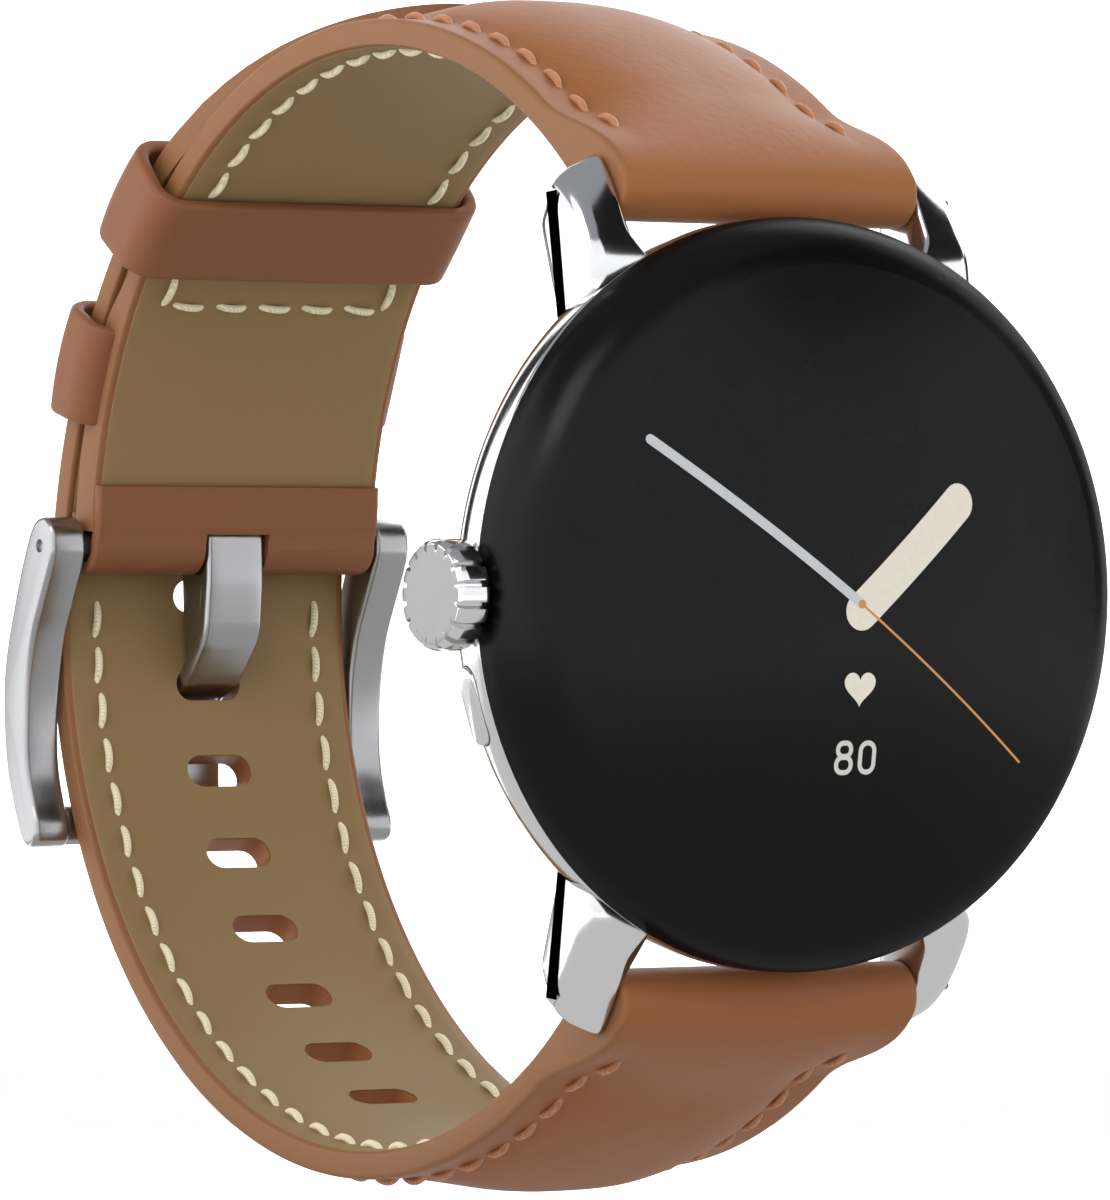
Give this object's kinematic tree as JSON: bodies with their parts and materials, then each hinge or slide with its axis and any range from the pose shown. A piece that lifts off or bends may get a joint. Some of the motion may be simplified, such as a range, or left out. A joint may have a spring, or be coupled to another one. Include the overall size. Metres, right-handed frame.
{
  "type": "smartwatch",
  "caption": "Round smartwatch with a domed black glass, polished ring and lugs, fluted crown, and a padded leather strap closed in a loop by a pin buckle and two keepers",
  "frame": {"origin": "centre of the flat of the back cover, the face that rests on the wrist", "axes": "+Y out of the back towards the wrist, +Z towards 12 o'clock, +X towards the side away from the crown"},
  "size_m": [0.0432, 0.0681, 0.0681],
  "materials": {
    "polished_steel": "polished",
    "satin_steel": "satin",
    "dark_glass": "glossy black glass",
    "window_glass": "glossy dark glass",
    "display": "gloss",
    "back": "gloss",
    "seal": "matt",
    "board": "solder mask",
    "dark_plastic": "matt",
    "copper": "wound wire",
    "cell": "foil",
    "flex": "satin",
    "tan_leather": "smooth grain",
    "brown_leather": "smooth grain",
    "khaki_lining": "matt",
    "padding": "felt",
    "thread": "waxed thread"
  },
  "bodies": {
    "watch": {"back_cover": "back", "back_screws": "satin_steel", "back_seal": "seal", "battery": "cell", "charging_coil": "copper", "chassis": "dark_plastic", "cover_glass": "dark_glass", "crown_encoder": "dark_plastic", "crown_switch": "dark_plastic", "crown_tube": "satin_steel", "display_flex": "flex", "display_panel": "display", "fixed_keeper": "brown_leather", "glass_seal": "seal", "haptic_motor": "satin_steel", "main_board": "board", "microphone": "dark_plastic", "mid_case": "polished_steel", "processor_shield": "satin_steel", "sensor_board": "board", "sensor_leds": "dark_plastic", "sensor_window": "window_glass", "side_button_switch": "dark_plastic", "speaker": "dark_plastic", "spring_bar_12_spring": "satin_steel", "spring_bar_12_tube": "satin_steel", "spring_bar_6_spring": "satin_steel", "spring_bar_6_tube": "satin_steel", "strap_12_filler": "padding", "strap_12_lining": "khaki_lining", "strap_12_outer": "tan_leather", "strap_12_stiffener": "padding", "strap_12_stitching": "thread", "strap_6_filler": "padding", "strap_6_lining": "khaki_lining", "strap_6_outer": "tan_leather", "strap_6_stitching": "thread"},
    "crown_push": {"crown_push_plate": "dark_plastic"},
    "crown": {"crown_knob": "polished_steel", "crown_stem": "satin_steel", "crown_o_rings": "seal", "crown_clip": "satin_steel"},
    "side_button": {"side_button": "polished_steel"},
    "buckle": {"buckle_frame": "satin_steel", "buckle_bar": "satin_steel"},
    "tongue": {"buckle_tongue": "satin_steel"},
    "free_keeper": {"free_keeper": "brown_leather"},
    "spring_bar_12_tip_left": {"spring_bar_12_tip_left": "satin_steel"},
    "spring_bar_12_tip_right": {"spring_bar_12_tip_right": "satin_steel"},
    "spring_bar_6_tip_left": {"spring_bar_6_tip_left": "satin_steel"},
    "spring_bar_6_tip_right": {"spring_bar_6_tip_right": "satin_steel"}
  },
  "joints": [
    {"name": "crown_press", "type": "slide", "parent": "watch", "child": "crown_push", "axis": [1, 0, 0], "range_m": [0, 0.00025], "stiffness_N_per_m": 4000, "springref_m": -0.0002},
    {"name": "crown_spin", "type": "hinge", "parent": "crown_push", "child": "crown", "pos_m": [-0.021, -0.00457, 0], "axis": [1, 0, 0], "continuous": true},
    {"name": "side_button_press", "type": "slide", "parent": "watch", "child": "side_button", "axis": [0.9563, 0, 0.2924], "range_m": [0, 0.0002], "stiffness_N_per_m": 5000, "springref_m": -0.0002},
    {"name": "buckle_swing", "type": "hinge", "parent": "watch", "child": "buckle", "pos_m": [0, 0.05153, 0.0029], "axis": [1, 0, 0], "range_deg": [0, 2.5]},
    {"name": "tongue_lift", "type": "hinge", "parent": "buckle", "child": "tongue", "pos_m": [0, 0.05153, 0.0029], "axis": [1, 0, 0], "range_deg": [0, 1.5]},
    {"name": "free_keeper_slide", "type": "hinge", "parent": "watch", "child": "free_keeper", "pos_m": [0, 0.02108, 0.0016], "axis": [1, 0, 0], "range_deg": [-7.5, 12]},
    {"name": "bar_12_left_tip", "type": "slide", "parent": "watch", "child": "spring_bar_12_tip_left", "axis": [1, 0, 0], "range_m": [0, 0.0012], "stiffness_N_per_m": 800, "springref_m": -0.0006},
    {"name": "bar_12_right_tip", "type": "slide", "parent": "watch", "child": "spring_bar_12_tip_right", "axis": [-1, 0, 0], "range_m": [0, 0.0012], "stiffness_N_per_m": 800, "springref_m": -0.0006},
    {"name": "bar_6_left_tip", "type": "slide", "parent": "watch", "child": "spring_bar_6_tip_left", "axis": [1, 0, 0], "range_m": [0, 0.0012], "stiffness_N_per_m": 800, "springref_m": -0.0006},
    {"name": "bar_6_right_tip", "type": "slide", "parent": "watch", "child": "spring_bar_6_tip_right", "axis": [-1, 0, 0], "range_m": [0, 0.0012], "stiffness_N_per_m": 800, "springref_m": -0.0006}
  ]
}
